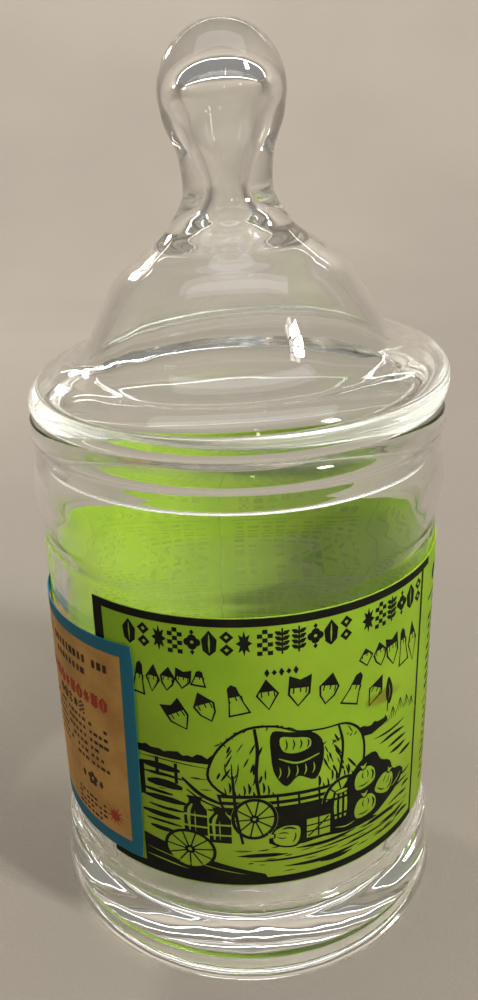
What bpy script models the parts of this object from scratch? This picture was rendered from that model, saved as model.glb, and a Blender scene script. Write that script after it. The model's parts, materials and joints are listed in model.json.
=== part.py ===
"""Glass apothecary jar with a blown lift-off lid and two paper labels.

Metres, +Z up. The jar stands on z = 0, its axis is the Z axis, and the front of its
label faces -Y. Compass angles run from the front (-Y) towards +X.
"""

import math

import bpy
from mathutils import Vector

# Jar, from the table up
FOOT_HEIGHT = 0.0212  # rest face to the foot's top ridge
FOOT_PROUD = 0.0037  # widest part of the foot, beyond the panel
RIDGE_PROUD = 0.0019
FOOT_CORNER = 0.0030
REST_RING_WIDTH = 0.0060
UNDERSIDE_HOLLOW = 0.0040
COVE_HEIGHT = 0.0048  # ridge to the foot of the panel
PANEL_RADIUS = 0.0490  # outside of the straight wall that carries the labels
PANEL_HEIGHT = 0.0834
SHOULDER_HEIGHT = 0.0220  # top of the panel to the rim bead
SHOULDER_PROUD = 0.0015
NECK_PROUD = 0.0005
BEAD_HEIGHT = 0.0071
BEAD_PROUD = 0.0013
BEAD_DEPTH = 0.0034  # from the bead's outside to the flat land on top of the rim
NECK_WALL = 0.0045
MOUTH_RADIUS = PANEL_RADIUS + NECK_PROUD - NECK_WALL
MOUTH_ROUND = 0.0011
JAR_WALL = 0.0032
FLOOR_THICKNESS = 0.0120  # over the middle of the underside hollow
FLOOR_CROWN = 0.0008  # middle of the floor above its edge
FLOOR_ROUND = 0.0060

# Lid, from the jar's rim up
SEAT_GAP = 0.0003
PLUG_CLEARANCE = 0.0012  # all round, between the plug and the mouth
PLUG_DEPTH = 0.0126
LID_WALL = 0.0030  # plug
DOME_WALL = 0.0026  # dome and brim
BRIM_SETBACK = 0.0003  # brim inside the bead's outer edge
BRIM_RADIUS = PANEL_RADIUS + BEAD_PROUD - BRIM_SETBACK
BRIM_HEIGHT = 0.0106
BRIM_FLANGE = 0.0029  # thickness of the flange that rests on the rim
BRIM_WIDTH = 0.0108  # outer edge to the valley that the dome rises from
VALLEY_RADIUS = BRIM_RADIUS - BRIM_WIDTH
DOME_HEIGHT = 0.0376  # valley to the narrowest part of the neck
NECK_RADIUS = 0.0101
NECK_BORE = 0.0034
NECK_TAPER = 0.22  # share of the dome's width over which its wall thins
KNOB_RADIUS = 0.0141
KNOB_RISE = 0.0190  # narrowest part of the neck to the knob's widest circle
KNOB_CROWN = 0.0147  # knob's widest circle to its top
KNOB_ROOF = 0.0086  # glass over the cavity
CAVITY_RADIUS = 0.0090

# Paper labels
PAPER = 0.0003
PAPER_GAP = 0.0003
WRAP_MARGIN_BELOW = 0.0040
WRAP_MARGIN_ABOVE = 0.0050
WRAP_START = -42.6  # compass degrees
WRAP_SWEEP = 318.0
SIDE_MARGIN_BELOW = 0.0070
SIDE_HEIGHT_SHARE = 0.80  # of the wrap label's height
SIDE_START = -118.0
SIDE_SWEEP = 87.3

TURN_STEPS = 48
PAPER_STEP = 6.0  # degrees


def clear_scene():
    for old in list(bpy.data.objects):
        bpy.data.objects.remove(old, do_unlink=True)


def flow(keys, steps=3):
    """Points of a smooth curve that passes through every key point (Catmull-Rom)."""
    keys = [Vector(key) for key in keys]
    ends = [2 * keys[0] - keys[1]] + keys + [2 * keys[-1] - keys[-2]]
    points = [keys[0]]
    for before, start, stop, after in zip(ends, ends[1:], ends[2:], ends[3:]):
        for step in range(1, steps + 1):
            t = step / steps
            slope_in = (stop - before) / 2
            slope_out = (after - start) / 2
            points.append(
                start * (2 * t**3 - 3 * t**2 + 1)
                + slope_in * (t**3 - 2 * t**2 + t)
                + stop * (3 * t**2 - 2 * t**3)
                + slope_out * (t**3 - t**2)
            )
    return points


def arc(centre, width, height, start, stop, steps):
    """Points of an elliptical arc about centre, from one angle in degrees to another."""
    turn = [math.radians(start + (stop - start) * step / steps) for step in range(steps + 1)]
    return [Vector((centre[0] + width * math.cos(a), centre[1] + height * math.sin(a))) for a in turn]


def mix(low, high, share):
    return low + (high - low) * share


def joined(*runs):
    """The runs end to end, each shared end kept once."""
    points = []
    for run in runs:
        for point in run:
            point = Vector(point)
            if not points or (point - points[-1]).length > 1e-5:
                points.append(point)
    return points


def material(name, colour, roughness, transmission=0.0):
    made = bpy.data.materials.new(name)
    made.use_nodes = True
    shader = made.node_tree.nodes["Principled BSDF"]
    shader.inputs["Base Color"].default_value = (*colour, 1.0)
    shader.inputs["Roughness"].default_value = roughness
    shader.inputs["Metallic"].default_value = 0.0
    shader.inputs["Transmission Weight"].default_value = transmission
    made.diffuse_color = (*colour, 1.0)
    return made


def turned(name, outline, finish, parts, start=0.0, sweep=360.0, steps=TURN_STEPS):
    """An object that sweeps an outline of (radius, height) points about the Z axis.

    On the outer side the outline runs from top to bottom, so that the faces point outwards.
    """
    mesh = bpy.data.meshes.new(name)
    edges = [(i, i + 1) for i in range(len(outline) - 1)]
    mesh.from_pydata([(point[0], 0.0, point[1]) for point in outline], edges, [])
    part = bpy.data.objects.new(name, mesh)
    parts.objects.link(part)
    mesh.materials.append(finish)
    screw = part.modifiers.new("turn", "SCREW")
    screw.axis = "Z"
    screw.angle = math.radians(sweep)
    screw.steps = steps
    screw.render_steps = steps
    screw.use_merge_vertices = True
    screw.merge_threshold = 0.00001
    screw.use_smooth_shade = True
    part.rotation_euler[2] = math.radians(start - 90.0)
    return part


def heights():
    """The levels that the jar, the lid and the labels share."""
    level = {"ridge": FOOT_HEIGHT}
    level["panel_foot"] = level["ridge"] + COVE_HEIGHT
    level["panel_top"] = level["panel_foot"] + PANEL_HEIGHT
    level["bead_foot"] = level["panel_top"] + SHOULDER_HEIGHT
    level["rim"] = level["bead_foot"] + BEAD_HEIGHT
    level["seat"] = level["rim"] + SEAT_GAP
    level["plug_end"] = level["seat"] - PLUG_DEPTH
    level["brim_top"] = level["seat"] + BRIM_HEIGHT
    level["neck"] = level["brim_top"] + DOME_HEIGHT
    level["knob"] = level["neck"] + KNOB_RISE
    level["top"] = level["knob"] + KNOB_CROWN
    return level


def jar_body(level, parts):
    """The jar: inside from the middle of the floor up, over the rim and down the outside."""
    wall_inside = PANEL_RADIUS - JAR_WALL
    floor = UNDERSIDE_HOLLOW + FLOOR_THICKNESS
    belly = mix(level["panel_top"], level["bead_foot"], 0.47)
    waist = mix(level["panel_top"], level["bead_foot"], 0.80)
    inside = joined(
        [(0.0, floor), (0.5 * wall_inside, floor - 0.4 * FLOOR_CROWN)],
        arc(
            (wall_inside - FLOOR_ROUND, floor - FLOOR_CROWN + FLOOR_ROUND),
            FLOOR_ROUND, FLOOR_ROUND, -90, 0, 4,
        ),
        flow([
            (wall_inside, level["panel_top"]),
            (wall_inside + SHOULDER_PROUD * 0.8, belly),
            (MOUTH_RADIUS + 0.2 * JAR_WALL, waist),
            (MOUTH_RADIUS, level["bead_foot"]),
        ]),
    )
    bead = level["rim"] - 0.5 * BEAD_HEIGHT
    rim = joined(
        arc(
            (MOUTH_RADIUS + MOUTH_ROUND, level["rim"] - MOUTH_ROUND),
            MOUTH_ROUND, MOUTH_ROUND, 180, 90, 3,
        ),
        arc(
            (PANEL_RADIUS + BEAD_PROUD - BEAD_DEPTH, bead),
            BEAD_DEPTH, 0.5 * BEAD_HEIGHT, 90, -42, 6,
        ),
    )
    outside = joined(
        flow([
            (PANEL_RADIUS + NECK_PROUD, level["bead_foot"]),
            (PANEL_RADIUS + NECK_PROUD, waist),
            (PANEL_RADIUS + SHOULDER_PROUD, belly),
            (PANEL_RADIUS + 0.1 * SHOULDER_PROUD, mix(level["panel_top"], belly, 0.25)),
            (PANEL_RADIUS, level["panel_top"]),
        ]),
        flow([
            (PANEL_RADIUS, level["panel_foot"]),
            (PANEL_RADIUS, mix(level["panel_foot"], level["ridge"], 0.55)),
            (PANEL_RADIUS + RIDGE_PROUD, level["ridge"]),
            (PANEL_RADIUS + 0.75 * FOOT_PROUD, 0.45 * FOOT_HEIGHT),
            (PANEL_RADIUS + FOOT_PROUD, FOOT_CORNER),
        ]),
        arc(
            (PANEL_RADIUS + FOOT_PROUD - FOOT_CORNER, FOOT_CORNER),
            FOOT_CORNER, FOOT_CORNER, 0, -90, 4,
        ),
    )
    ring_inside = PANEL_RADIUS + FOOT_PROUD - FOOT_CORNER - REST_RING_WIDTH
    underside = arc((0.0, 0.0), ring_inside, UNDERSIDE_HOLLOW, 0, 90, 6)
    glass = material("clear_glass", (0.93, 0.95, 0.94), 0.03, 1.0)
    return turned("jar_body", joined(inside, rim, outside, underside), glass, parts)


def dome_skin(level):
    """The dome's outer skin, from just under the neck out to where it meets the brim."""
    reach = VALLEY_RADIUS - NECK_RADIUS
    # Shares of the way out from the neck and of the way down from it.
    dome = (
        (0.02, 0.08), (0.08, 0.16), (0.16, 0.25), (0.28, 0.32), (0.41, 0.39),
        (0.55, 0.47), (0.66, 0.59), (0.77, 0.74), (0.88, 0.89), (1.00, 0.96),
    )
    return [Vector((NECK_RADIUS + reach * out, level["neck"] - DOME_HEIGHT * down)) for out, down in dome]


def brim_skin(level):
    """The top of the brim, from the dome out to where it turns down to its edge."""
    # Shares of the brim's width and of its height.
    brim = ((0.40, 1.02), (0.72, 0.86), (0.93, 0.61))
    return [
        Vector((mix(VALLEY_RADIUS, BRIM_RADIUS, out), level["seat"] + BRIM_HEIGHT * up))
        for out, up in brim
    ]


def inset(skin, walls):
    """The inner face of a wall: each point of the skin but the last, moved in by that wall."""
    moved = []
    for before, here, after, wall in zip([skin[0], *skin], skin, skin[1:], walls):
        along = (after - before).normalized()
        moved.append(here + wall * Vector((-abs(along.y), -abs(along.x))))
    return moved


def lid_outside(level):
    """The lid's outer skin, from the top of the knob down to the seat on the rim."""
    brim_edge = level["seat"] + 0.33 * BRIM_HEIGHT
    knob = arc((0.0, level["knob"]), KNOB_RADIUS, KNOB_CROWN, 90, 0, 6)
    return joined(
        knob,
        flow(
            [
                (KNOB_RADIUS, level["knob"]),
                (0.93 * KNOB_RADIUS, mix(level["knob"], level["neck"], 0.32)),
                (mix(NECK_RADIUS, KNOB_RADIUS, 0.20), mix(level["knob"], level["neck"], 0.62)),
                (NECK_RADIUS, level["neck"]),
                *dome_skin(level),
                *brim_skin(level),
                (BRIM_RADIUS, brim_edge),
                (mix(VALLEY_RADIUS, BRIM_RADIUS, 0.93), level["seat"] + 0.06 * BRIM_HEIGHT),
                (mix(VALLEY_RADIUS, BRIM_RADIUS, 0.82), level["seat"]),
            ],
            steps=2,
        ),
    )


def lid_inside(level, plug_inside):
    """The lid's inner skin, from the end of the plug up to the top of the hollow knob."""
    flange = level["seat"] + BRIM_FLANGE
    hollow_edge = BRIM_RADIUS - 1.25 * DOME_WALL
    skin = dome_skin(level) + brim_skin(level)
    # The wall thins from the solid neck to the blown dome over the first stretch of the slope.
    thinning = NECK_TAPER * (VALLEY_RADIUS - NECK_RADIUS)
    walls = [
        mix(NECK_RADIUS - NECK_BORE, DOME_WALL, min(1.0, (point.x - NECK_RADIUS) / thinning)) for point in skin
    ]
    blown = inset(skin, walls)
    return joined(
        [(plug_inside, level["plug_end"])],
        flow(
            [
                (plug_inside, level["seat"] - 0.5 * LID_WALL),
                (plug_inside + 0.15 * LID_WALL, mix(level["seat"], flange, 0.6)),
                (mix(plug_inside, hollow_edge, 0.5), flange + 0.1 * BRIM_FLANGE),
                (hollow_edge, mix(flange, blown[-1].y, 0.5)),
                *reversed(blown),
                (NECK_BORE, level["neck"]),
                (0.5 * (NECK_BORE + CAVITY_RADIUS), mix(level["neck"], level["knob"], 0.55)),
                (CAVITY_RADIUS, level["knob"]),
            ],
            steps=2,
        ),
        arc((0.0, level["knob"]), CAVITY_RADIUS, KNOB_CROWN - KNOB_ROOF, 0, 90, 5),
    )


def lid(level, parts):
    """The lid in one piece of glass: knob, neck, dome, brim and the plug inside the mouth."""
    plug_radius = MOUTH_RADIUS - PLUG_CLEARANCE
    plug_inside = plug_radius - LID_WALL
    plug_outside = [(plug_radius, level["seat"]), (plug_radius, level["plug_end"])]
    outline = joined(lid_outside(level), plug_outside, lid_inside(level, plug_inside))
    glass = material("lid_glass", (0.93, 0.95, 0.94), 0.03, 1.0)
    piece = turned("lid", outline, glass, parts)
    lift = bpy.data.objects.new("lid_lift_axis", None)
    parts.objects.link(lift)
    piece.parent = lift
    return piece


def label(name, radius, low, high, start, sweep, finish, parts):
    """A strip of paper round the panel, from one height and compass angle to another."""
    paper = turned(
        name, [(radius, high), (radius, low)], finish, parts,
        start=start, sweep=sweep, steps=math.ceil(sweep / PAPER_STEP),
    )
    solid = paper.modifiers.new("paper", "SOLIDIFY")
    solid.thickness = PAPER
    solid.offset = 1.0
    return paper


def main():
    clear_scene()
    parts = bpy.data.collections.new("apothecary_jar")
    bpy.context.scene.collection.children.link(parts)
    level = heights()
    jar_body(level, parts)
    lid(level, parts)

    low = level["panel_foot"] + WRAP_MARGIN_BELOW
    high = level["panel_top"] - WRAP_MARGIN_ABOVE
    green = material("green_paper", (0.30, 0.52, 0.03), 0.55)
    label("wrap_label", PANEL_RADIUS + PAPER_GAP, low, high, WRAP_START, WRAP_SWEEP, green, parts)

    side_low = level["panel_foot"] + SIDE_MARGIN_BELOW
    side_high = side_low + SIDE_HEIGHT_SHARE * (high - low)
    over_wrap = PANEL_RADIUS + 2 * PAPER_GAP + PAPER
    tan = material("tan_paper", (0.62, 0.30, 0.10), 0.60)
    label("side_label", over_wrap, side_low, side_high, SIDE_START, SIDE_SWEEP, tan, parts)


main()
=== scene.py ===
# A clear glass apothecary jar with a hollow blown lid and two old paper labels.
import json
import math
import random

import bmesh
import bpy
import numpy as np
from mathutils import Matrix, Vector, noise
from mathutils.geometry import delaunay_2d_cdt

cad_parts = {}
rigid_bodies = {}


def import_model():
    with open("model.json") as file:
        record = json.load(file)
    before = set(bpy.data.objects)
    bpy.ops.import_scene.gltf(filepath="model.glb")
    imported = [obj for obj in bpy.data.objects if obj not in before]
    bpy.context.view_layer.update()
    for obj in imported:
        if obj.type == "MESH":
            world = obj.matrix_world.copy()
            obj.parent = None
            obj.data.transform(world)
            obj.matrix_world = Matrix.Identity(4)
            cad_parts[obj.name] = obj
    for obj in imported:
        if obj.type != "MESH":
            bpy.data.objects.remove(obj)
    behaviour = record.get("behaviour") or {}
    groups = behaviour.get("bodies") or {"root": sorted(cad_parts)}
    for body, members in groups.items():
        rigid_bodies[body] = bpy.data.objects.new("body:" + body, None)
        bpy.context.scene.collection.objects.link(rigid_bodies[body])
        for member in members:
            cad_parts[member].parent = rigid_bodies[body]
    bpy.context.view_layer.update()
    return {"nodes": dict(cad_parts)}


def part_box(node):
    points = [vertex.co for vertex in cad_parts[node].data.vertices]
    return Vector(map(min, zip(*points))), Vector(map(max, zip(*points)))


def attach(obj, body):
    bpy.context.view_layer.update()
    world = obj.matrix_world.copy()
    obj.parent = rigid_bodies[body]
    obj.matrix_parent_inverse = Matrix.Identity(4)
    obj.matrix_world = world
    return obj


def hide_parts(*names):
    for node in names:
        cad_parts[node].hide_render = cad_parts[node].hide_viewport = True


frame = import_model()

mm = 0.001


# camera, stage and light

view = {"place": (0.0, -0.22739, 0.20849), "turn": (66.075, 2.331, 1.310), "lens": 34.95,
        "shift": (0.0371, 0.0104)}
stage = {"height": -0.0004, "floorRadius": 0.75, "bendRadius": 0.55, "bendSteps": 16, "wallTop": 1.05,
         "steps": 96}
window = {"place": (0.62, -0.50, 0.72), "columns": 2, "rows": 3, "pane": (0.050, 0.048), "gap": 0.011,
          "watts": 1.15, "colour": (1.0, 0.97, 0.92)}
lamps = {
    "ceiling": {"place": (0.0, 0.0, 1.45), "target": (0.05, 1.35, 0.15), "size": (1.50, 1.00), "watts": 7.0,
                "colour": (0.90, 0.92, 1.0)},
    "wallWash": {"place": (0.0, 0.92, 0.85), "target": (0.0, 1.30, 0.10), "size": (1.40, 0.20), "watts": 7.0,
                 "colour": (1.0, 0.97, 0.93)},
    "backGlow": {"place": (-0.45, 0.66, 0.50), "target": (0, 0, 0.09), "size": (0.10, 0.08), "watts": 2.6,
                 "colour": (1.0, 0.95, 0.88)},
    "warmStrip": {"place": (0.10, -0.75, 0.62), "target": (0, 0, 0.14), "size": (0.025, 0.16), "watts": 0.30,
                  "colour": (1.0, 0.80, 0.58)},
}
skyColour = (0.80, 0.77, 0.73)
skyStrength = 0.34
bounces = 40  # light that is trapped in thick glass turns many times before it leaves


def addCamera():
    data = bpy.data.cameras.new("camera")
    data.lens = view["lens"]
    data.sensor_width = 36
    data.shift_x, data.shift_y = view["shift"]
    data.clip_start = 0.01
    camera = bpy.data.objects.new("camera", data)
    camera.location = view["place"]
    camera.rotation_euler = [math.radians(a) for a in view["turn"]]
    bpy.context.scene.collection.objects.link(camera)
    bpy.context.scene.camera = camera


def aimed(name, data, place, target=(0, 0, 0.11)):
    lamp = bpy.data.objects.new(name, data)
    lamp.location = place
    lamp.rotation_euler = (Vector(target) - Vector(place)).to_track_quat("-Z", "Y").to_euler()
    bpy.context.scene.collection.objects.link(lamp)
    lamp.visible_camera = False
    return lamp


def areaLight(name, size, watts, colour):
    data = bpy.data.lights.new(name, "AREA")
    data.shape = "RECTANGLE"
    data.size, data.size_y = size
    data.energy = watts
    data.color = colour
    return data


def addLights():
    for name, l in lamps.items():
        aimed(name, areaLight(name, l["size"], l["watts"], l["colour"]), l["place"], l["target"])
    # the window is a grid of panes, so that the glass shows panes and not a plain square
    place = Vector(window["place"])
    turn = (Vector((0, 0, 0.11)) - place).to_track_quat("-Z", "Y")
    wide, tall = window["pane"]
    for column in range(window["columns"]):
        for row in range(window["rows"]):
            right = (column - (window["columns"] - 1) / 2) * (wide + window["gap"])
            up = (row - (window["rows"] - 1) / 2) * (tall + window["gap"])
            name = f"pane_{column}_{row}"
            lamp = aimed(name, areaLight(name, (wide, tall), window["watts"], window["colour"]), place)
            lamp.location = place + turn @ Vector((right, up, 0))
            lamp.rotation_euler = turn.to_euler()
    world = bpy.data.worlds.new("softRoom")
    world.use_nodes = True
    background = world.node_tree.nodes["Background"]
    background.inputs["Color"].default_value = (*skyColour, 1)
    background.inputs["Strength"].default_value = skyStrength
    bpy.context.scene.world = world
    scene = bpy.context.scene
    scene.view_settings.view_transform = "Standard"
    for kind in ("max_bounces", "glossy_bounces", "transmission_bounces", "transparent_max_bounces"):
        setattr(scene.cycles, kind, bounces)


# shader nodes as expressions

class Wire:
    def __init__(self, tree, socket):
        self.tree = tree
        self.socket = socket

    def maths(self, operation, other=None, swapped=False):
        node = self.tree.nodes.new("ShaderNodeMath")
        node.operation = operation
        ends = [self, other] if not swapped else [other, self]
        for socket, value in zip(node.inputs, ends):
            plug(self.tree, socket, value)
        return Wire(self.tree, node.outputs[0])

    def __add__(self, other):
        return self.maths("ADD", other)

    def __sub__(self, other):
        return self.maths("SUBTRACT", other)

    def __rsub__(self, other):
        return self.maths("SUBTRACT", other, swapped=True)

    def __mul__(self, other):
        return self.maths("MULTIPLY", other)

    __radd__ = __add__
    __rmul__ = __mul__


def plug(tree, socket, value):
    if value is None:
        return
    if isinstance(value, Wire):
        tree.links.new(value.socket, socket)
    elif isinstance(value, (tuple, list)) and len(value) == 3 and socket.type == "RGBA":
        socket.default_value = (*value, 1)
    else:
        socket.default_value = value


class Finish:
    # one material and the calls that add its nodes
    def __init__(self, name):
        self.material = bpy.data.materials.new(name)
        self.material.use_nodes = True
        self.tree = self.material.node_tree
        self.tree.nodes.clear()
        self.output = self.tree.nodes.new("ShaderNodeOutputMaterial")

    def add(self, kind, settings=None, out=0, **inputs):
        node = self.tree.nodes.new("ShaderNode" + kind)
        for key, value in (settings or {}).items():
            if key == "stops":
                ramp = node.color_ramp
                while len(ramp.elements) < len(value):
                    ramp.elements.new(0.5)
                for element, (place, colour) in zip(ramp.elements, value):
                    element.position = place
                    element.color = (*colour, 1) if len(colour) == 3 else colour
            else:
                setattr(node, key, value)
        for key, value in inputs.items():
            plug(self.tree, node.inputs[key.replace("_", " ")], value)
        return Wire(self.tree, node.outputs[out])

    def where(self, scale=1.0, squeeze=(1, 1, 1), source="Object"):
        coords = self.tree.nodes.new("ShaderNodeTexCoord")
        spot = Wire(self.tree, coords.outputs[source])
        return self.add("Mapping", Vector=spot, Scale=[scale * s for s in squeeze])

    def noise(self, spot, scale, detail=3.0, roughness=0.55, distortion=0.0):
        return self.add("TexNoise", Vector=spot, Scale=scale, Detail=detail, Roughness=roughness,
                        Distortion=distortion)

    def ramp(self, fac, *stops):
        return self.add("ValToRGB", {"stops": stops}, Fac=fac)

    def fade(self, value, low, high):
        return self.add("MapRange", {"interpolation_type": "SMOOTHSTEP"}, Value=value, From_Min=low,
                        From_Max=high)

    def blendColour(self, fac, a, b):
        node = self.tree.nodes.new("ShaderNodeMix")
        node.data_type = "RGBA"
        plug(self.tree, node.inputs[0], fac)
        plug(self.tree, node.inputs[6], a)
        plug(self.tree, node.inputs[7], b)
        return Wire(self.tree, node.outputs[2])

    def bump(self, height, depth, strength=1.0):
        return self.add("Bump", Height=height, Distance=depth, Strength=strength)

    def axes(self, spot):
        node = self.tree.nodes.new("ShaderNodeSeparateXYZ")
        plug(self.tree, node.inputs[0], spot)
        return [Wire(self.tree, s) for s in node.outputs]

    def shader(self, **inputs):
        return self.add("BsdfPrincipled", **inputs)

    def either(self, share, first, second):
        node = self.tree.nodes.new("ShaderNodeMixShader")
        for socket, value in zip(node.inputs, (share, first, second)):
            plug(self.tree, socket, value)
        return Wire(self.tree, node.outputs[0])

    def done(self, surface):
        plug(self.tree, self.output.inputs["Surface"], surface)
        return self.material


def blownGlass():
    f = Finish("blownGlass")
    g = clearGlass
    spot = f.where()
    smudge = f.fade(f.noise(spot, g["smudgeScale"], 5, 0.62, 0.6), 0.50, 0.74)
    ripple = f.noise(f.where(squeeze=(1, 1, 0.35)), g["rippleScale"], 2, 0.5)
    body = f.shader(Base_Color=g["tint"], Roughness=smudge * g["smudgeRoughness"], IOR=g["ior"],
                    Transmission_Weight=1.0, Normal=f.bump(ripple, g["rippleDepth"]))
    return f.done(letLightPass(f, body, g["shadowTint"]))


def letLightPass(f, body, tint):
    # shadow rays go straight through, so that light reaches the paper and the floor behind the glass
    return f.either(f.add("LightPath", out="Is Shadow Ray"), body, f.add("BsdfTransparent", Color=tint))


clearGlass = {"tint": (0.985, 0.992, 0.982), "ior": 1.49, "smudgeScale": 34.0, "smudgeRoughness": 0.022,
              "rippleScale": 42.0, "rippleDepth": 0.00022, "shadowTint": (0.90, 0.91, 0.89)}
groundGlass = {"tint": (0.93, 0.94, 0.92), "ior": 1.49, "roughness": 0.45, "grain": 2400.0,
               "grainDepth": 0.00006, "band": 0.9}


def groundEnd():
    f = Finish("groundEnd")
    g = groundGlass
    grain = f.noise(f.where(), g["grain"], 2, 0.6)
    body = f.shader(Base_Color=g["tint"], Roughness=g["roughness"] + grain * 0.15, IOR=g["ior"],
                    Transmission_Weight=1.0, Normal=f.bump(grain, g["grainDepth"]))
    return f.done(letLightPass(f, body, clearGlass["shadowTint"]))


floorTone = {"dark": (0.335, 0.302, 0.258), "light": (0.385, 0.347, 0.298), "cloudScale": 3.0,
             "grainScale": 900.0, "grainDepth": 0.0004, "roughness": 0.92}


def seamlessFloor():
    f = Finish("seamlessFloor")
    t = floorTone
    cloud = f.noise(f.where(), t["cloudScale"], 3)
    grain = f.noise(f.where(), t["grainScale"], 2)
    colour = f.ramp(cloud, (0.30, t["dark"]), (0.72, t["light"]))
    return f.done(f.shader(Base_Color=colour, Roughness=t["roughness"], Specular_IOR_Level=0.15,
                           Normal=f.bump(grain, t["grainDepth"], 0.5)))


# mesh helpers

def keepMesh(name, bm, finishes, smooth=True):
    mesh = bpy.data.meshes.new(name)
    for face in bm.faces:
        face.smooth = smooth
    bm.to_mesh(mesh)
    bm.free()
    for finish in finishes:
        mesh.materials.append(finish)
    piece = bpy.data.objects.new(name, mesh)
    bpy.context.scene.collection.objects.link(piece)
    return piece


def addStage(finish):
    s = stage
    inner, bendRadius = s["floorRadius"], s["bendRadius"]
    profile = [(inner * 0.5, 0.0)]
    for k in range(s["bendSteps"] + 1):
        a = k / s["bendSteps"] * math.pi / 2
        profile.append((inner + bendRadius * math.sin(a), bendRadius * (1 - math.cos(a))))
    profile.append((inner + bendRadius, s["wallTop"]))
    bm = bmesh.new()
    rings = []
    for r, z in profile:
        turns = [k / s["steps"] * math.tau for k in range(s["steps"])]
        rings.append([bm.verts.new((r * math.cos(a), r * math.sin(a), z)) for a in turns])
    centre = bm.verts.new((0, 0, 0))
    for k in range(s["steps"]):
        n = (k + 1) % s["steps"]
        bm.faces.new((centre, rings[0][k], rings[0][n]))
        for low, high in zip(rings, rings[1:]):
            bm.faces.new((low[k], high[k], high[n], low[n]))
    floor = keepMesh("floor", bm, [finish])
    floor.location.z = s["height"]


# turned glass from the frame's own sections

turned = {"steps": 176, "sharpBend": 40.0, "rounding": 0.35, "fineStep": 1.1, "rail": 0.01, "weld": 0.000002}


def section(node):
    # the +X half of a turned node, from its first pole to its last, in metres
    bm = bmesh.new()
    bm.from_mesh(frame["nodes"][node].data)
    bmesh.ops.remove_doubles(bm, verts=bm.verts, dist=2e-6)
    flat = {v for v in bm.verts if abs(v.co.y) < 1e-6 and v.co.x > -1e-6}
    poles = [v for v in flat if v.co.x < 1e-6]
    now = min(poles, key=lambda v: v.co.z)
    path = [now]
    while True:
        onward = [e.other_vert(now) for e in now.link_edges]
        onward = [v for v in onward if v in flat and v not in path]
        if not onward:
            break
        now = onward[0]
        path.append(now)
    points = [Vector((v.co.x, v.co.z)) for v in path]
    bm.free()
    return points


def bend(a, b, c):
    return math.degrees((b - a).angle(c - b, 0.0))


def through(p0, p1, p2, p3, t):
    # a centripetal curve between p1 and p2
    k0 = 0.0
    k1 = k0 + max((p1 - p0).length, 1e-7) ** 0.5
    k2 = k1 + max((p2 - p1).length, 1e-7) ** 0.5
    k3 = k2 + max((p3 - p2).length, 1e-7) ** 0.5
    k = k1 + (k2 - k1) * t
    a1 = p0.lerp(p1, (k - k0) / (k1 - k0))
    a2 = p1.lerp(p2, (k - k1) / (k2 - k1))
    a3 = p2.lerp(p3, (k - k2) / (k3 - k2))
    b1 = a1.lerp(a2, (k - k0) / (k2 - k0))
    b2 = a2.lerp(a3, (k - k1) / (k3 - k1))
    return b1.lerp(b2, (k - k1) / (k2 - k1))


def flowing(points, sharp=None, closed=False, step=1.0, parts=None):
    # one smooth line through the points, which keeps bends sharper than the given angle
    count = len(points)
    out = []
    last = count if closed else count - 1
    for i in range(last):
        p1, p2 = points[i], points[(i + 1) % count]
        before = points[i - 1] if closed or i > 0 else None
        after = points[(i + 2) % count] if closed or i + 2 < count else None
        if before is None or (sharp and bend(before, p1, p2) > sharp):
            before = p1 + (p1 - p2)
        if after is None or (sharp and bend(p1, p2, after) > sharp):
            after = p2 + (p2 - p1)
        pieces = parts or max(1, math.ceil((p2 - p1).length / step))
        out += [through(before, p1, p2, after, k / pieces) for k in range(pieces)]
    if not closed:
        out.append(points[-1].copy())
    return out


def eased(points, sharp, cut):
    # rounds the corners that are left
    out = [points[0]]
    for a, b, c in zip(points, points[1:], points[2:]):
        if bend(a, b, c) > sharp:
            near = b + (a - b).normalized() * min(cut, (a - b).length * 0.4)
            far = b + (c - b).normalized() * min(cut, (c - b).length * 0.4)
            out += [near.lerp(b, t).lerp(b.lerp(far, t), t) for t in (0.0, 0.33, 0.67, 1.0)]
        else:
            out.append(b)
    out.append(points[-1])
    return out


class Tree:
    # one Geometry Nodes tree with named inputs
    def __init__(self, name, output, **inputs):
        self.tree = bpy.data.node_groups.new(name, "GeometryNodeTree")
        face = self.tree.interface
        self.ids = {label: face.new_socket(label, in_out="INPUT", socket_type="NodeSocket" + kind).identifier
                    for label, kind in inputs.items()}
        face.new_socket(output, in_out="OUTPUT", socket_type="NodeSocketGeometry")
        self.given = self.tree.nodes.new("NodeGroupInput").outputs

    def add(self, kind, inputs, out=0, **settings):
        node = self.tree.nodes.new(kind)
        for key, value in settings.items():
            setattr(node, key, value)
        for key, value in inputs.items():
            if isinstance(value, bpy.types.NodeSocket):
                self.tree.links.new(value, node.inputs[key])
            else:
                node.inputs[key].default_value = value
        return node.outputs[out]

    def maths(self, operation, a, b):
        return self.add("ShaderNodeMath", {0: a, 1: b}, operation=operation)

    def done(self, shape, finish):
        whole = self.add("GeometryNodeRealizeInstances", {"Geometry": shape})
        dressed = self.add("GeometryNodeSetMaterial", {"Geometry": whole, "Material": finish})
        self.tree.links.new(dressed, self.tree.nodes.new("NodeGroupOutput").inputs[0])
        return self

    def made(self, name, mesh, **values):
        # the plain mesh that the tree makes from a source mesh
        source = bpy.data.objects.new(name + "Source", mesh)
        bpy.context.scene.collection.objects.link(source)
        modifier = source.modifiers.new(self.tree.name, "NODES")
        modifier.node_group = self.tree
        for label, value in values.items():
            modifier[self.ids[label]] = value
        graph = bpy.context.evaluated_depsgraph_get()
        result = bpy.data.meshes.new_from_object(source.evaluated_get(graph), depsgraph=graph)
        bpy.data.objects.remove(source)
        result.name = name
        piece = bpy.data.objects.new(name, result)
        bpy.context.scene.collection.objects.link(piece)
        return piece


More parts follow.
